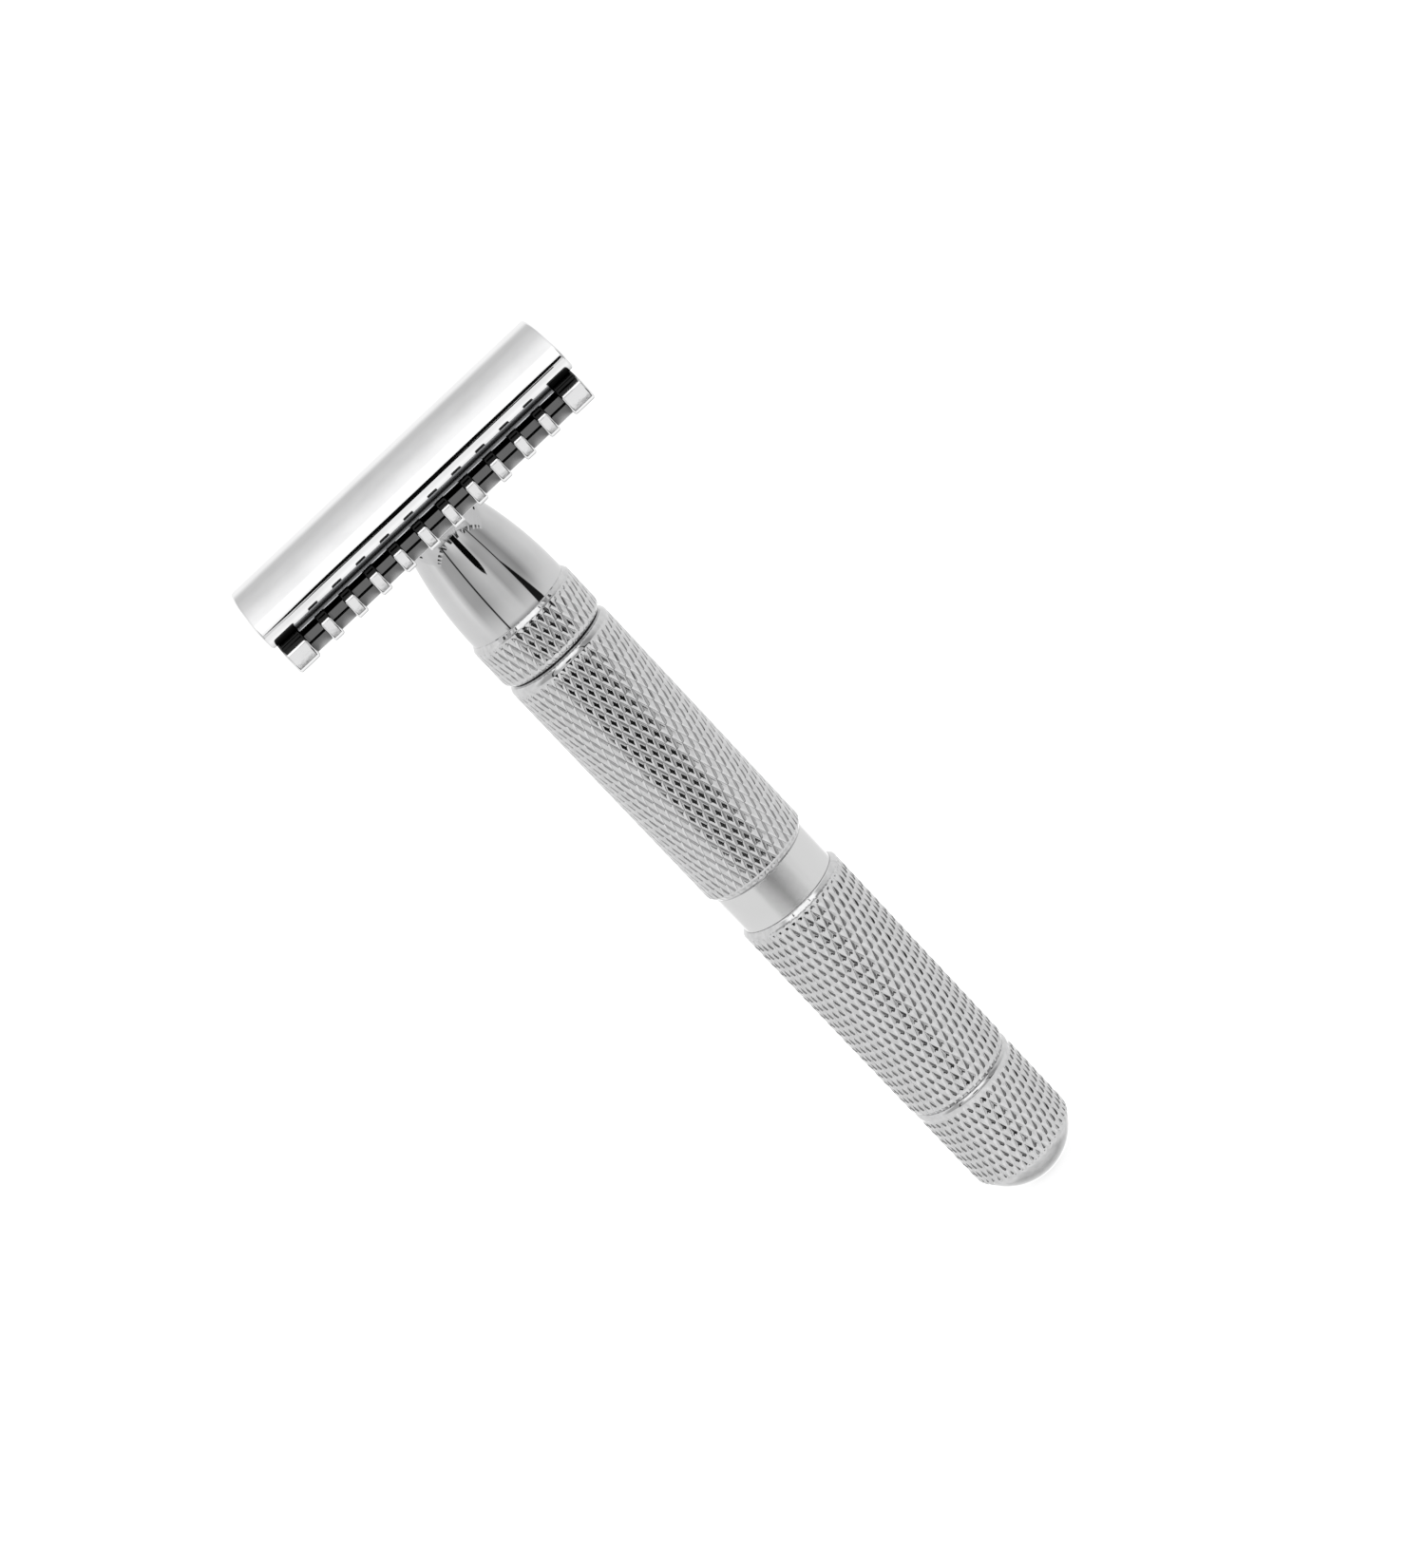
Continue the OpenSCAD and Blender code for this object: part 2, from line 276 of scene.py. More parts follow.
def comb_chrome():
    """Chrome with painted shade: dim between the teeth, and darkest on what faces up into the gap below the
    cap.
    """
    finish = Finish("comb_chrome")
    smudges = finish.noise(260)
    openness = finish.openness(COMB_SHADE_REACH, COMB_SHADE_SAMPLES)
    # Painted shade: faces that look up into the gap below the cap are painted almost black.
    painted_gap_shade = openness.smooth(0.93, 0.99, 1.0, 0.0) * finish.upward().smooth(0.05, 0.3)
    # Painted shade: recesses between the teeth are dimmed.
    light = openness.smooth(0.5, 0.9, 0.17, 1.0) * painted_gap_shade.smooth(0.0, 1.0, 1.0, 0.01)
    finish.tint(light, BLACK, [COMB_BRIGHTNESS * s for s in CHROME])
    finish.roughness(smudges.smooth(0.3, 0.75, 0.03, 0.08))
    finish.bump(finish.noise(1800, 4), 0.004 * MM, 0.5)
    return finish.material


def knurled_chrome(name, brightness, flank_shade):
    """Chrome that is bright on the crests. The grooves' upward flanks are darkened with painted shade, down
    to the share that the last argument gives, where they lean towards a plane near the handle's middle."""
    finish = Finish(name)
    groove = finish.attribute("groove")
    grime = finish.noise(1500)
    upward = finish.upward()
    # Painted shade: upward groove flanks that lean towards the middle plane are darkened into dark dashes.
    shaded_flanks = upward.smooth(0.04, 0.12) * upward.smooth(0.35, 0.5, 1.0, 0.0) * groove.smooth(0.02, 0.2)
    shaded_flanks = shaded_flanks * finish.lean(FLANK_SHADE_MIDDLE, FLANK_SHADE_BLEND).smooth(0.0, 0.15)
    light = shaded_flanks.smooth(0.0, 1.0, 1.0, flank_shade) * grime.smooth(0.25, 0.7, 0.88, 1.0)
    # Painted shade: darker in crevices and at the joints between pieces, from ambient occlusion.
    light = light * finish.openness(CREVICE_SHADE_REACH).smooth(0.05, 0.35, 0.25, 1.0)
    finish.tint(light, BLACK, [brightness * s for s in CHROME])
    finish.roughness(groove.smooth(0.0, 1.0, 0.02, 0.12) + grime * 0.04)
    finish.bump(finish.noise(6000, 2), 0.003 * MM, 0.3)
    return finish.material


def satin_band():
    """A bead-blasted ring: a fine, even grain under the plating."""
    finish = Finish("satin_band")
    grain = finish.noise(9000, 2)
    finish.tint(finish.noise(300), (0.67, 0.67, 0.67), (0.71, 0.71, 0.71))
    finish.roughness(grain.smooth(0.3, 0.7, 0.11, 0.17))
    finish.bump(grain, 0.004 * MM, 0.5)
    return finish.material


def ground_steel(name, shade, along, roughness):
    """Steel with fine grinding or turning marks, and painted shade in its crevices; along stretches the
    marks.
    """
    finish = Finish(name)
    marks = finish.noise(1, 4, finish.stretched(*along))
    # Painted shade: darker in crevices, from ambient occlusion.
    light = marks.smooth(0.2, 0.8, 0.85, 1.0) * finish.openness(CREVICE_SHADE_REACH).smooth(0.55, 1.0, 0.03, 1.0)
    finish.tint(light, BLACK, shade)
    finish.roughness(marks.smooth(0.25, 0.75, 0.7 * roughness, 1.3 * roughness))
    finish.bump(marks, 0.004 * MM, 0.5)
    return finish.material


def turned_brass():
    finish = Finish("brass")
    marks = finish.noise(1, 3, finish.stretched(200, 200, 9000))
    finish.tint(marks, (0.7, 0.5, 0.2), (0.84, 0.64, 0.31))
    finish.roughness(marks.smooth(0.25, 0.75, 0.2, 0.34))
    finish.bump(marks, 0.004 * MM, 0.5)
    return finish.material


def moulded_nylon():
    finish = Finish("nylon", metallic=0.0)
    mottle = finish.noise(700)
    finish.tint(mottle, (0.8, 0.78, 0.7), (0.9, 0.89, 0.84))
    finish.roughness(mottle.smooth(0.2, 0.8, 0.45, 0.6))
    finish.bump(mottle, 0.01 * MM, 0.4)
    return finish.material


ACROSS = (60, 9000, 9000)
ROUND = (200, 200, 9000)

materials = {
    # The chrome is one plating, painted brighter on the cap and comb (0.86) than on the neck (0.63) and
    # knurling (0.66): painted light and shade per part.
    "polished_chrome": polished_chrome("polished_chrome", 0.63, 0.5),
    "cap_chrome": polished_chrome("cap_chrome", 0.86, 0.3),
    "comb_chrome": comb_chrome(),
    # The lower grips take the same chrome with far more painted shade on their groove flanks.
    "knurled_chrome": knurled_chrome("knurled_chrome", 0.66, 0.8),
    "lower_knurled_chrome": knurled_chrome("lower_knurled_chrome", 0.66, 0.32),
    "satin_band": satin_band(),
    "blade_steel": ground_steel("blade_steel", (0.68, 0.69, 0.71), ACROSS, 0.2),
    "stainless": ground_steel("stainless", (0.7, 0.7, 0.71), ROUND, 0.22),
    "spring_steel": ground_steel("spring_steel", (0.32, 0.34, 0.38), ROUND, 0.3),
    "brass": turned_brass(),
    "nylon": moulded_nylon(),
}

# ---------------------------------------------------------------- outlines


def arc(centre, radius, start, end, step=ARC_STEP):
    """Points on an arc from one angle to another, both included."""
    steps = max(2, math.ceil(abs(end - start) / step))
    angles = np.radians(np.linspace(start, end, steps + 1))
    return [(centre[0] + radius * math.cos(a), centre[1] + radius * math.sin(a)) for a in angles]


def circle_through(top, across, height):
    """The centre's height and the radius of a circle with its top on the axis, through one more point."""
    drop = top - height
    radius = (across**2 + drop**2) / (2 * drop)
    return top - radius, radius


def softened(corners):
    """A closed outline through (across, up, radius) corners, each rounded by its radius."""
    outline = []
    for i, (across, up, radius) in enumerate(corners):
        here = Vector((across, up))
        before = (Vector(corners[i - 1][:2]) - here).normalized()
        after = (Vector(corners[(i + 1) % len(corners)][:2]) - here).normalized()
        if not radius:
            outline.append(here)
            continue
        half = before.angle(after) / 2
        inwards = (before + after).normalized()
        middle = here + inwards * radius / math.sin(half)
        sweep = math.copysign(math.pi / 2 - half, before.cross(after))
        for step in range(EDGE_STEPS + 1):
            turn = Matrix.Rotation(sweep * (1 - 2 * step / EDGE_STEPS), 2)
            outline.append(middle - turn @ inwards * radius)
    return [tuple(p) for p in outline]


def inset(outline, distance):
    """Moves every side of an anticlockwise outline inwards."""
    points = np.array(outline)
    sides = np.roll(points, -1, 0) - points
    sides /= np.linalg.norm(sides, axis=1)[:, None]
    inwards = np.stack([-sides[:, 1], sides[:, 0]], 1)
    before = np.roll(inwards, 1, 0)
    bisector = (inwards + before) / (1 + (inwards * before).sum(1))[:, None]
    return points + distance * bisector


# ---------------------------------------------------------------- meshes


class Shape:
    """Points and faces that are put together before they become a mesh."""

    def __init__(self):
        self.points = []
        self.faces = []
        self.groove = None

    def move(self, x, y, z):
        self.points = [(p[0] + x, p[1] + y, p[2] + z) for p in self.points]
        return self

    def join(self, other):
        offset = len(self.points)
        self.points += other.points
        self.faces += [[i + offset for i in face] for face in other.faces]
        return self


def extruded(outline, low, high, edge):
    """An outline across Y and Z, carried along X from low to high with its end edges rounded."""
    shape = Shape()
    turns = [math.radians(90 * step / EDGE_STEPS) for step in range(EDGE_STEPS + 1)] if edge else [0]
    ends = [(edge * (1 - math.cos(t)), edge * (1 - math.sin(t)) if edge else 0) for t in turns]
    stations = [(low + along, inwards) for along, inwards in ends]
    stations += [(high - along, inwards) for along, inwards in reversed(ends)]
    count = len(outline)
    for x, inwards in stations:
        shape.points += [(x, y, z) for y, z in inset(outline, inwards)]
    for ring in range(len(stations) - 1):
        for i in range(count):
            a, b = ring * count + i, ring * count + (i + 1) % count
            shape.faces.append([a, b, b + count, a + count])
    last = (len(stations) - 1) * count
    shape.faces.append(list(reversed(range(count))))
    shape.faces.append(list(range(last, last + count)))
    return shape


def turned(profile, columns=PLAIN_COLUMNS, closed=True, cut=None, rows=None):
    """Turns an anticlockwise profile of (radius, height) about the handle axis. cut(radius, height, angles)
    gives the depth of a pattern cut into it, and rows says which rings of mesh cells follow the pattern."""
    shape = Shape()
    angles = np.arange(columns) * 2 * np.pi / columns
    depths = []
    rings = []
    for radius, height in profile:
        if radius == 0:
            rings.append(np.full(columns, len(shape.points)))
            shape.points.append((0, 0, height))
            depths.append(0)
            continue
        depth = cut(radius, height, angles) if cut else np.zeros(columns)
        rings.append(np.arange(columns) + len(shape.points))
        wall = radius - depth
        shape.points += list(zip(wall * np.cos(angles), wall * np.sin(angles), [height] * columns))
        depths.extend(depth)
    column = np.arange(columns)
    for k in range(len(rings) - (0 if closed else 1)):
        low, high = rings[k], rings[(k + 1) % len(rings)]
        a, b, c, d = low, np.roll(low, -1), np.roll(high, -1), high
        if a[0] == a[1]:
            shape.faces += np.stack([a, c, d], 1).tolist()
        elif c[0] == c[1]:
            shape.faces += np.stack([a, b, c], 1).tolist()
        elif rows and k in rows:
            falls = ((column + rows[k] + 1) % KNURL_CELLS == 0)[:, None]
            shape.faces += np.where(falls, np.stack([a, b, d], 1), np.stack([a, b, c], 1)).tolist()
            shape.faces += np.where(falls, np.stack([b, c, d], 1), np.stack([a, c, d], 1)).tolist()
        else:
            shape.faces += np.stack([a, b, c, d], 1).tolist()
    shape.groove = depths
    return shape


def even_normals(made):
    """Keeps flat and straight faces looking flat beside their rounded edges."""
    modifier = made.modifiers.new("normals", "WEIGHTED_NORMAL")
    modifier.keep_sharp = True


def make_object(name, shape, crease=30):
    mesh = bpy.data.meshes.new(name)
    mesh.from_pydata(shape.points, [], shape.faces)
    mesh.shade_smooth()
    mesh.set_sharp_from_angle(angle=math.radians(crease))
    if shape.groove is not None:
        values = np.array(shape.groove, np.float32)
        layer = mesh.attributes.new("groove", "FLOAT", "POINT")
        layer.data.foreach_set("value", values / max(values.max(), 1e-9))
    made = bpy.data.objects.new(name, mesh)
    bpy.context.scene.collection.objects.link(made)
    return made


def add_piece(made, body, slot, *nodes, finish=None):
    """Gives an object its finish and its body, and lets it stand for its CAD nodes."""
    made.data.materials.clear()
    made.data.materials.append(materials[finish or slot])
    if slot != "knurled_chrome":
        even_normals(made)
    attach(made, body)
    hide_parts(*nodes)


def combine(made, other, operation, crease=30):
    """Joins or cuts one closed mesh with another, and removes the other."""
    modifier = made.modifiers.new(operation, "BOOLEAN")
    modifier.operation = operation
    modifier.solver = "EXACT"
    modifier.object = other
    graph = bpy.context.evaluated_depsgraph_get()
    result = bpy.data.meshes.new_from_object(made.evaluated_get(graph))
    made.modifiers.clear()
    made.data = result
    result.shade_smooth()
    result.set_sharp_from_angle(angle=math.radians(crease))
    bpy.data.objects.remove(other)


def drill(made, *holes):
    """Cuts upright round holes, each given as (x, radius, low, high)."""
    drills = Shape()
    for x, radius, low, high in holes:
        profile = [(0, low), (radius, low), (radius, high), (0, high)]
        drills.join(turned(profile, PLAIN_COLUMNS // 4, closed=False).move(x, 0, 0))
    combine(made, make_object("drills", drills), "DIFFERENCE")


# ---------------------------------------------------------------- head

pin_low, pin_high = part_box("locating_pins")
stud_low, stud_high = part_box("cap_stud")
pin_r = pin_high.y
pin_x = pin_high.x - pin_r


def build_cap():
    """The cap: a flat arc that runs into a rolled edge on each side, over a hollow that fits the blade."""
    low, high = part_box("top_cap")
    roll_y = high.y - CAP_ROLL_R
    roll_z = high.z - CAP_RISE
    lip_angle = math.degrees(math.asin((roll_z - low.z) / CAP_ROLL_R))
    lip_y = roll_y + CAP_ROLL_R * math.cos(math.radians(lip_angle))
    excess = CAP_RISE - CAP_ROLL_R
    crown_r = CAP_RISE + (roll_y**2 - excess**2) / (2 * excess)
    crown_z = high.z - crown_r
    meeting = math.degrees(math.atan2(roll_z - crown_z, roll_y))
    under_z, under_r = circle_through(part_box("blade")[1].z + UNDER_GAP, lip_y, low.z)
    under_angle = math.degrees(math.acos(lip_y / under_r))
    right = arc((roll_y, roll_z), CAP_ROLL_R, -lip_angle, meeting)
    crown = arc((0, crown_z), crown_r, meeting, 180 - meeting)
    left = arc((-roll_y, roll_z), CAP_ROLL_R, 180 - meeting, 180 + lip_angle)
    under = arc((0, under_z), under_r, 180 - under_angle, under_angle)
    outline = right + crown[1:] + left[1:] + under[1:-1]
    made = make_object("cap", extruded(outline, low.x, high.x, CAP_EDGE))
    fits = [(x, pin_r + UNDER_GAP, low.z, pin_high.z) for x in (-pin_x, pin_x)]
    drill(made, (0, stud_high.x + UNDER_GAP, low.z, stud_high.z), *fits)
    add_piece(made, "cap", "polished_chrome", "top_cap", finish="cap_chrome")


def build_comb():
    """The comb plate: a stepped plate with rounded teeth that run right across it."""
    low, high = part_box("comb_plate")
    sink = 0.01 * MM
    edge = 0.12 * MM
    bend_z, bend_r = circle_through(high.z, high.y, low.z + TIP_H)
    foot_y, ledge_y, shoulder_y = 9.5 * MM, 9.1 * MM, 8.4 * MM
    ledge_h, slope_h, shoulder_h = 1.3 * MM, 2.3 * MM, 3.0 * MM
    steps = [(foot_y, sink), (foot_y, ledge_h), (ledge_y, ledge_h), (ledge_y, slope_h)]
    steps.append((shoulder_y, shoulder_h))
    right = [(y, low.z + h, edge) for y, h in steps]
    top_angle = math.degrees(math.acos(shoulder_y / bend_r))
    top = [(*p, 0) for p in arc((0, bend_z), bend_r, top_angle, 180 - top_angle)]
    left = [(-y, z, r) for y, z, r in reversed(right)]
    plate_end = high.x - END_TOOTH_W / 2
    made = make_object("comb", extruded(softened(right + top + left), -plate_end, plate_end, 0))

    tip_angle = math.degrees(math.acos(high.y / bend_r))
    foot = 0.5 * MM
    brow = 0.35 * MM
    over = arc((0, bend_z - sink), bend_r, tip_angle, 180 - tip_angle)
    front = [(high.y, low.z, foot), (high.y, over[0][1], brow)]
    back = [(-high.y, over[-1][1], brow), (-high.y, low.z, foot)]
    tooth = softened(front + [(*p, 0) for p in over[1:-1]] + back)
    bars = Shape()
    for i in range(TOOTH_COUNT):
        middle = (i - (TOOTH_COUNT - 1) / 2) * TOOTH_PITCH
        bars.join(extruded(tooth, middle - TOOTH_W / 2, middle + TOOTH_W / 2, TOOTH_EDGE))
    for side in (-1, 1):
        middle = side * (high.x - END_TOOTH_W / 2)
        bars.join(extruded(tooth, middle - END_TOOTH_W / 2, middle + END_TOOTH_W / 2, END_TOOTH_EDGE))
    combine(made, make_object("bars", bars), "UNION")
    running_gap = 0.05 * MM
    fits = [(x, pin_r + running_gap, low.z - MM, high.z + MM) for x in (-pin_x, pin_x)]
    drill(made, (0, stud_high.x + 3 * running_gap, low.z - MM, high.z + MM), *fits)
    add_piece(made, "handle", "polished_chrome", "comb_plate", finish="comb_chrome")


def build_stud():
    """The cap's stud, with a screw thread up to the cap."""
    radius = stud_high.x
    point = 0.5 * MM
    thread_top = span("top_cap")[0]

    def thread(r, height, angles):
        turn = height / THREAD_LEAD - angles / (2 * np.pi)
        flank = np.abs(turn - np.round(turn)) * 2
        depth = THREAD_DEPTH * np.clip(1.25 * (1 - flank) - 0.1, 0, 1)
        started = min(1, max(0, (thread_top - height) / THREAD_LEAD))
        return np.minimum(depth * started, max(0, r - radius + THREAD_DEPTH))

    steps = round((thread_top - stud_low.z - point) / THREAD_LEAD * KNURL_CELLS)
    wall = [(radius, z) for z in np.linspace(stud_low.z + point, thread_top, steps)]
    profile = [(0, stud_low.z), (radius - point, stud_low.z)] + wall
    profile += [(radius, stud_high.z), (0, stud_high.z)]
    made = make_object("stud", turned(profile, 72, closed=False, cut=thread), crease=50)
    add_piece(made, "cap", "stainless", "cap_stud")


def build_pins():
    """The two locating pins, each with a rounded foot."""
    pins = Shape()
    foot = 0.4 * MM
    profile = [(0, pin_low.z)] + arc((pin_r - foot, pin_low.z + foot), foot, -90, 0)
    profile += [(pin_r, pin_high.z), (0, pin_high.z)]
    for x in (-pin_x, pin_x):
        pins.join(turned(profile, PLAIN_COLUMNS // 4, closed=False).move(x, 0, 0))
    add_piece(make_object("pins", pins), "cap", "stainless", "locating_pins")


# ---------------------------------------------------------------- handle


def knurl_cut(crest, depth, width, soft, low, high, fade):
    """Two crossed sets of helical grooves. width is half a groove as a share of the pitch, soft rounds its
    shoulders, and the grooves fade out past low and high."""
    pitch_up = 2 * math.pi * crest / KNURL_STARTS / math.tan(math.radians(KNURL_HELIX))

    def groove(turn):
        slope = 1 - np.abs(turn - np.round(turn)) / width
        full = (1 + math.hypot(1, soft)) / 2
        return (slope + np.hypot(slope, soft)) / 2 / full

    def cut(radius, height, angles):
        around = KNURL_STARTS * angles / (2 * np.pi)
        along = height / pitch_up
        deepest = np.maximum(groove(around + along), groove(around - along))
        inside = min(1, max(0, (height - low) / fade + 1), max(0, (high - height) / fade + 1))
        return depth * inside * deepest

    return cut, pitch_up


def knurled(name, body, node, start, end, crest, low, high, depth, width, soft, fade, finish):
    """A knurled piece: the profile's start, then the wall from low to high, then the profile's end."""
    cut, pitch_up = knurl_cut(crest, depth, width, soft, low, high, fade)
    step = pitch_up / KNURL_CELLS
    wall_low = start[-1][1]
    wall_high = end[0][1]
    lattice = range(math.ceil(wall_low / step + 0.2), math.floor(wall_high / step - 0.2) + 1)
    profile = start + [(crest, row * step) for row in lattice] + end
    rows = {len(start) + i: row for i, row in enumerate(lattice[:-1])}
    closed = profile[0][0] > 0
    shape = turned(profile, KNURL_STARTS * KNURL_CELLS, closed, cut, rows)
    add_piece(make_object(name, shape, crease=75), body, "knurled_chrome", node, finish=finish)


SEAT = 0.02 * MM
SPIGOT_R = 4.6 * MM
SPIGOT_BORE_R = 4.62 * MM
BEVEL_POINTS = (0, 0.25, 0.5, 0.75, 1)
bore_r = reach("core_tube") + SEAT
grip_r = reach("upper_grip_sleeve")
band_r = reach("centre_band")
knob_r = reach("end_knob")
UPPER_KNURL = {"depth": 0.13 * MM, "width": 0.16, "soft": 0.1, "finish": "knurled_chrome"}
LOWER_KNURL = {"depth": 0.15 * MM, "width": 0.3, "soft": 0.1, "finish": "lower_knurled_chrome"}


def build_neck():
    """The neck: a pointed arch in outline, with spigots into the core tube and the comb plate."""
    low, high = span("neck")
    foot_z = span("knurled_collar")[1]
    shoulder_z = span("comb_plate")[0]
    bore = 3.6 * MM
    spigot = min(reach("lower_rod_bush") - 2 * SEAT, SPIGOT_R)
    peg = 4.05 * MM
    centre = (NECK_FOOT_R - NECK_CURVE_R, foot_z)
    lean = math.degrees(math.asin((shoulder_z - SEAT - foot_z) / NECK_CURVE_R))
    side = arc(centre, NECK_CURVE_R, 0, lean, NECK_STEP)
    profile = [(bore, low), (spigot, low), (spigot, foot_z)] + side
    profile += [(peg, shoulder_z - SEAT), (peg, high), (bore, high)]
    add_piece(make_object("neck_shell", turned(profile)), "handle", "polished_chrome", "neck")


def build_collar():
    """The knurled collar, bevelled at its top and rounded at its bottom."""
    low, high = span("knurled_collar")
    round_r = 1 * MM
    bevel = grip_r - NECK_FOOT_R
    start = [(SPIGOT_BORE_R, low)] + arc((grip_r - round_r, low + round_r), round_r, -90, 0)
    end = [(grip_r - bevel * t, high - 1.5 * bevel * (1 - t)) for t in BEVEL_POINTS] + [(SPIGOT_BORE_R, high)]
    knurled("collar", "handle", "knurled_collar", start, end, grip_r,
            low + 0.3 * MM, high - 0.85 * MM, fade=0.2 * MM, **UPPER_KNURL)


def build_upper_grip():
    """The upper grip, with a plain rounded shoulder above its knurling."""
    low, high = span("upper_grip_sleeve")
    round_r = 0.85 * MM
    bevel = grip_r - band_r
    start = [(bore_r, low)] + [(band_r + bevel * t, low + 1.5 * bevel * t) for t in BEVEL_POINTS]
    end = arc((grip_r - round_r, high - round_r), round_r, 0, 90) + [(bore_r, high)]
    knurled("upper_grip", "handle", "upper_grip_sleeve", start, end, grip_r,
            low + 0.3 * MM, high - 1.2 * MM, fade=0.2 * MM, **UPPER_KNURL)


def build_lower_grip():
    """The lower grip, with a plain bevel at its top and a small chamfer at its foot."""
    low, high = span("lower_grip_sleeve")
    bevel = 0.55 * MM
    foot = 0.25 * MM
    start = [(bore_r, low), (grip_r - foot, low), (grip_r, low + 2 * foot)]
    end = [(grip_r - bevel * t, high - bevel * (1 - t)) for t in BEVEL_POINTS] + [(bore_r, high)]
    knurled("lower_grip", "handle", "lower_grip_sleeve", start, end, grip_r,
            low + 0.5 * MM, high - 0.8 * MM, fade=0.2 * MM, **LOWER_KNURL)


def build_band():
    """The plain centre band, with its edges just broken."""
    low, high = span("centre_band")
    edge = 0.06 * MM
    profile = [(bore_r, low), (band_r - edge, low), (band_r, low + edge)]
    profile += [(band_r, high - edge), (band_r - edge, high), (bore_r, high)]
    add_piece(make_object("band", turned(profile)), "handle", "satin_band", "centre_band")


def build_knob():
    """The end knob: a dome, a knurled wall and a plain rounded shoulder, hollow for the rod and its nut."""
    low, high = span("end_knob")
    dome_h = 4.65 * MM
    dome_r = (knob_r**2 + dome_h**2) / (2 * dome_h)
    round_r = 0.6 * MM
    well_r = 4.3 * MM
    rod_r = reach("draw_rod") + SEAT
    rod_z = span("draw_rod")[0] - SEAT
    well_z = span("rod_lock_nut")[0] - SEAT
    corner_r = 1.5 * MM
    drop = math.sqrt((dome_r - corner_r) ** 2 - (knob_r - corner_r) ** 2)
    brim = -math.degrees(math.atan2(drop, knob_r - corner_r))
    centre = (0, low + dome_r)
    dome = arc(centre, dome_r, -90, 2 * brim) + arc(centre, dome_r, 2 * brim, brim, 1)[1:]
    corner = arc((knob_r - corner_r, low + dome_r - drop), corner_r, brim, 0)
    start = [(0, low)] + dome[1:] + corner[1:]
    end = arc((knob_r - round_r, high - round_r), round_r, 0, 90)
    end += [(well_r, high), (well_r, well_z), (rod_r, well_z), (rod_r, rod_z), (0, rod_z)]
    knurled("knob", "knob", "end_knob", start, end, knob_r,
            dome_h, high - 1.25 * MM, fade=0.4 * MM, **LOWER_KNURL)


def dress_cad_nodes():
    """The pieces that keep their CAD shape get their finish from the record's slot."""
    for part in frame["record"]["subparts"]:
        made = frame["nodes"][part["node"]]
        if not made.hide_render:
            made.data.materials.clear()
            made.data.materials.append(materials[part["material_slot"]])


# ---------------------------------------------------------------- studio

STUDIO_LIGHT = 1.5
LOW_WALLS = 208
CAMERA_RISE = 17.1
CAMERA_ROLL = 43.27
CAMERA_AWAY = 386.8 * MM
CAMERA_AIM = Vector((2.25 * MM, 0, 62 * MM))
CAMERA_LENS = 79.4
CAMERA_SENSOR = 36
SHIELD_GAP = 15 * MM
STRIP_GAP = 5 * MM
CARD_BLACK = 0.003


def place_camera():
    data = bpy.data.cameras.new("camera")
    data.lens = CAMERA_LENS
    data.sensor_width = CAMERA_SENSOR
    data.clip_start = 0.01
    made = bpy.data.objects.new("camera", data)
    rise = math.radians(CAMERA_RISE)
    back = Vector((0, -math.cos(rise), math.sin(rise)))
    turn = back.to_track_quat("Z", "Y").to_matrix().to_4x4()
    roll = Matrix.Rotation(math.radians(-CAMERA_ROLL), 4, "Z")
    made.matrix_world = Matrix.Translation(CAMERA_AIM + back * CAMERA_AWAY) @ turn @ roll
    bpy.context.scene.collection.objects.link(made)
    bpy.context.scene.camera = made
    return made


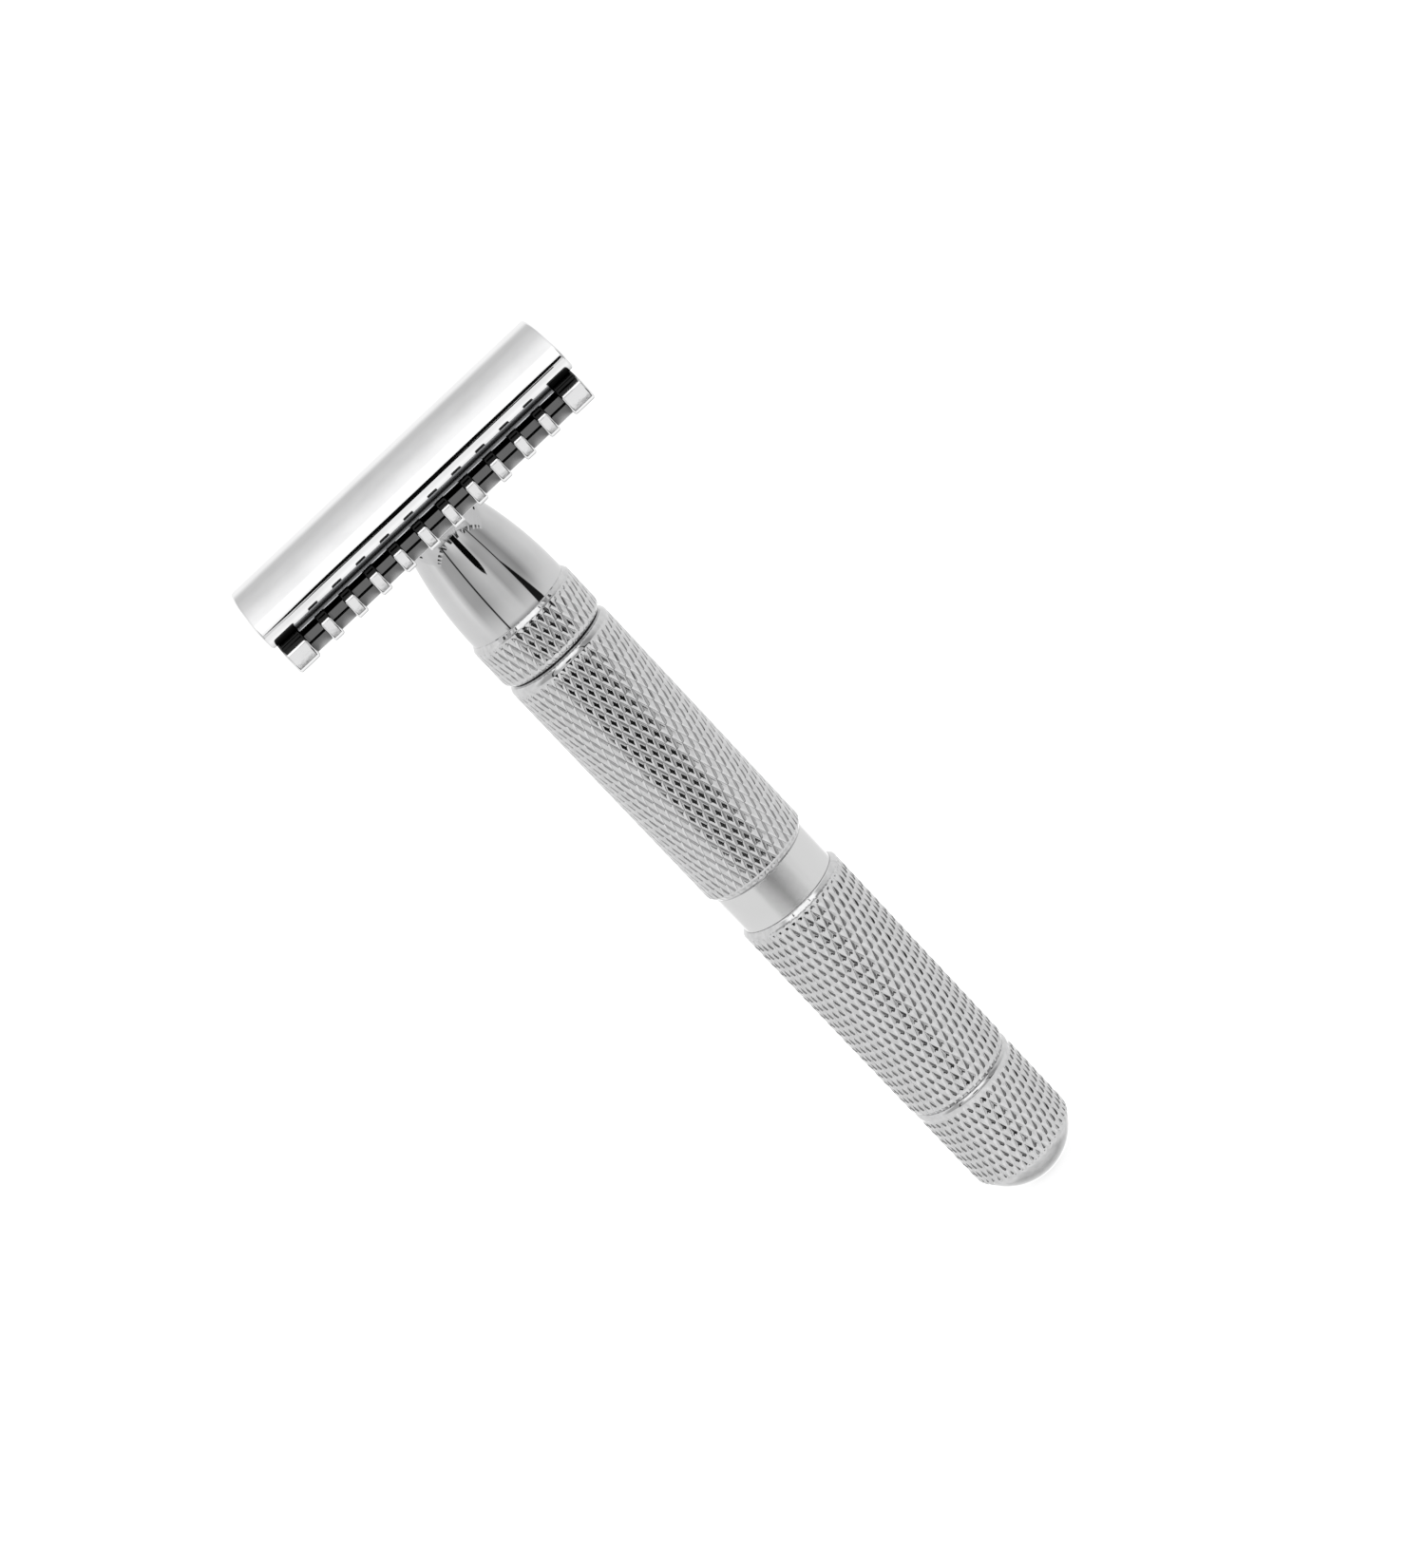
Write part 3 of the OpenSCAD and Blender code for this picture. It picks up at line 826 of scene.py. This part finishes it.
def light_studio():
    """A pale room, seen only in reflections: walls, a bright arch overhead, a thin dark seam on the left, a
    dark wedge on the right and a low dark gap in front. The camera itself sees white all round."""
    world = bpy.data.worlds.new("studio")
    bpy.context.scene.world = world
    world.use_nodes = True
    tree = world.node_tree
    tree.nodes.clear()
    coordinates = add_node(tree, "ShaderNodeTexCoord")
    axes = add_node(tree, "ShaderNodeSeparateXYZ", {0: coordinates.outputs["Generated"]})
    x, y, z = (Field(tree, socket) for socket in axes.outputs)
    degrees = 180 / math.pi
    front = y * -1
    bearing = x.math("ARCTAN2", front) * degrees
    wrap = z.math("ARCTAN2", front) * degrees
    rise = z.math("ARCSINE") * degrees

    eye_level = bearing.ramp([(-180, 212), (-100, 208), (-84, 218), (-66, 160), (-40, 158), (-10, 190),
                              (5, 190), (14, 155), (30, 165), (58, 135), (75, 180), (110, 205), (180, 212)])
    walls = eye_level.mix(linear(LOW_WALLS), rise.smooth(-16, -2, 1, 0))
    arch = wrap.ramp([(-180, 212), (-150, 252), (-130, 200), (-107, 165), (-75, 205), (-46, 225),
                      (-24, 212), (-12, 212), (30, 225), (45, 252), (90, 255), (120, 222), (135, 190),
                      (150, 172), (180, 172)])
    near_plane = abs(x).smooth(0.34, 0.5, 1, 0)
    steep = abs(rise).smooth(11, 24)
    level = walls.mix(arch, near_plane * steep)

    left_seam = abs(bearing + 39).smooth(1.0, 2.6, 0.05, 1)
    opening = ((rise * -1 + 6) * 0.45).math("MAXIMUM", 1.2)
    wedge = (abs(bearing - opening - 37) - opening).smooth(-0.8, 1.0, 0.02, 1)
    half_gap = ((rise + 20) * 17).math("MINIMUM", 42)
    gap_edge = (abs(bearing + 3) - half_gap).smooth(-6, 3)
    gap_top = rise.smooth(-13.2, -11.6)
    shade = rise.smooth(-19.5, -15, 0.06, 0.01)
    gap = gap_edge.math("MAXIMUM", gap_top).math("MAXIMUM", shade)
    streaks = (left_seam * wedge).math("MAXIMUM", rise.smooth(-17, -13.5, 1, 0))
    level = level * streaks * gap

    ray = add_node(tree, "ShaderNodeLightPath")
    seen = Field(tree, ray.outputs["Is Camera Ray"])
    level = level.mix(1.0, seen)
    background = add_node(tree, "ShaderNodeBackground", {"Color": level, "Strength": STUDIO_LIGHT})
    add_node(tree, "ShaderNodeOutputWorld", {0: background.outputs[0]})


def stage_material(name):
    made = bpy.data.materials.new(name)
    made.use_nodes = True
    made.node_tree.nodes.clear()
    return made, made.node_tree


def lay_floor():
    """A plain pale floor, mostly lit from within, so that its shadow is faint. It is clear from below."""
    half = 3.0
    z = cad_low.z - 0.05 * MM
    shape = Shape()
    shape.points = [(-half, -half, z), (half, -half, z), (half, half, z), (-half, half, z)]
    shape.faces = [[0, 1, 2, 3]]
    made = make_object("floor", shape)
    material, tree = stage_material("floor")
    glow = add_node(tree, "ShaderNodeEmission", {"Color": grey(0.8)})
    paint = add_node(tree, "ShaderNodeBsdfDiffuse", {"Color": grey(0.4)})
    both = add_node(tree, "ShaderNodeAddShader", {0: glow.outputs[0], 1: paint.outputs[0]})
    clear = add_node(tree, "ShaderNodeBsdfTransparent")
    from_below = add_node(tree, "ShaderNodeNewGeometry").outputs["Backfacing"]
    floor = add_node(tree, "ShaderNodeMixShader", {0: from_below, 1: both.outputs[0], 2: clear.outputs[0]})
    add_node(tree, "ShaderNodeOutputMaterial", {0: floor.outputs[0]})
    made.data.materials.append(material)
    made.visible_glossy = False
    made.visible_diffuse = False


def hang_card(name, outline, y, level):
    """A flat, upright card that only mirror reflections see. Its outline is (x, z) in millimetres."""
    shape = Shape()
    shape.points = [(x * MM, y, z * MM) for x, z in outline]
    shape.faces = [list(range(len(outline)))]
    made = make_object(name, shape)
    material, tree = stage_material(name)
    glow = add_node(tree, "ShaderNodeEmission", {"Color": grey(level)})
    add_node(tree, "ShaderNodeOutputMaterial", {0: glow.outputs[0]})
    made.data.materials.append(material)
    made.visible_camera = False
    made.visible_diffuse = False
    made.visible_shadow = False


def hang_cards(camera):
    """A black shield in front of the camera, and two strips close to the cap's rolled edge."""
    shield = [(0, 122), (24, 134), (38, 152), (43, 185), (43, 262), (38, 268), (-28, 268), (-45, 205),
              (-42, 175), (-36, 150), (-22, 132)]
    dark_strip = [(-20, 110.12), (20.3, 110.12), (20.3, 110.8), (-13, 110.8)]
    bright_strip = [(-26, 108.3), (26, 108.3), (26, 110.11), (-26, 110.11)]
    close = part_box("top_cap")[0].y - STRIP_GAP
    hang_card("lens_card", shield, camera.location.y + SHIELD_GAP, CARD_BLACK)
    hang_card("dark_strip", dark_strip, close, CARD_BLACK)
    hang_card("bright_strip", bright_strip, close, 1.0)


# ---------------------------------------------------------------- scene

build_cap()
build_comb()
build_stud()
build_pins()
build_neck()
build_collar()
build_upper_grip()
build_band()
build_lower_grip()
build_knob()
dress_cad_nodes()

camera = place_camera()
light_studio()
lay_floor()
hang_cards(camera)
bpy.context.scene.view_settings.view_transform = "Standard"
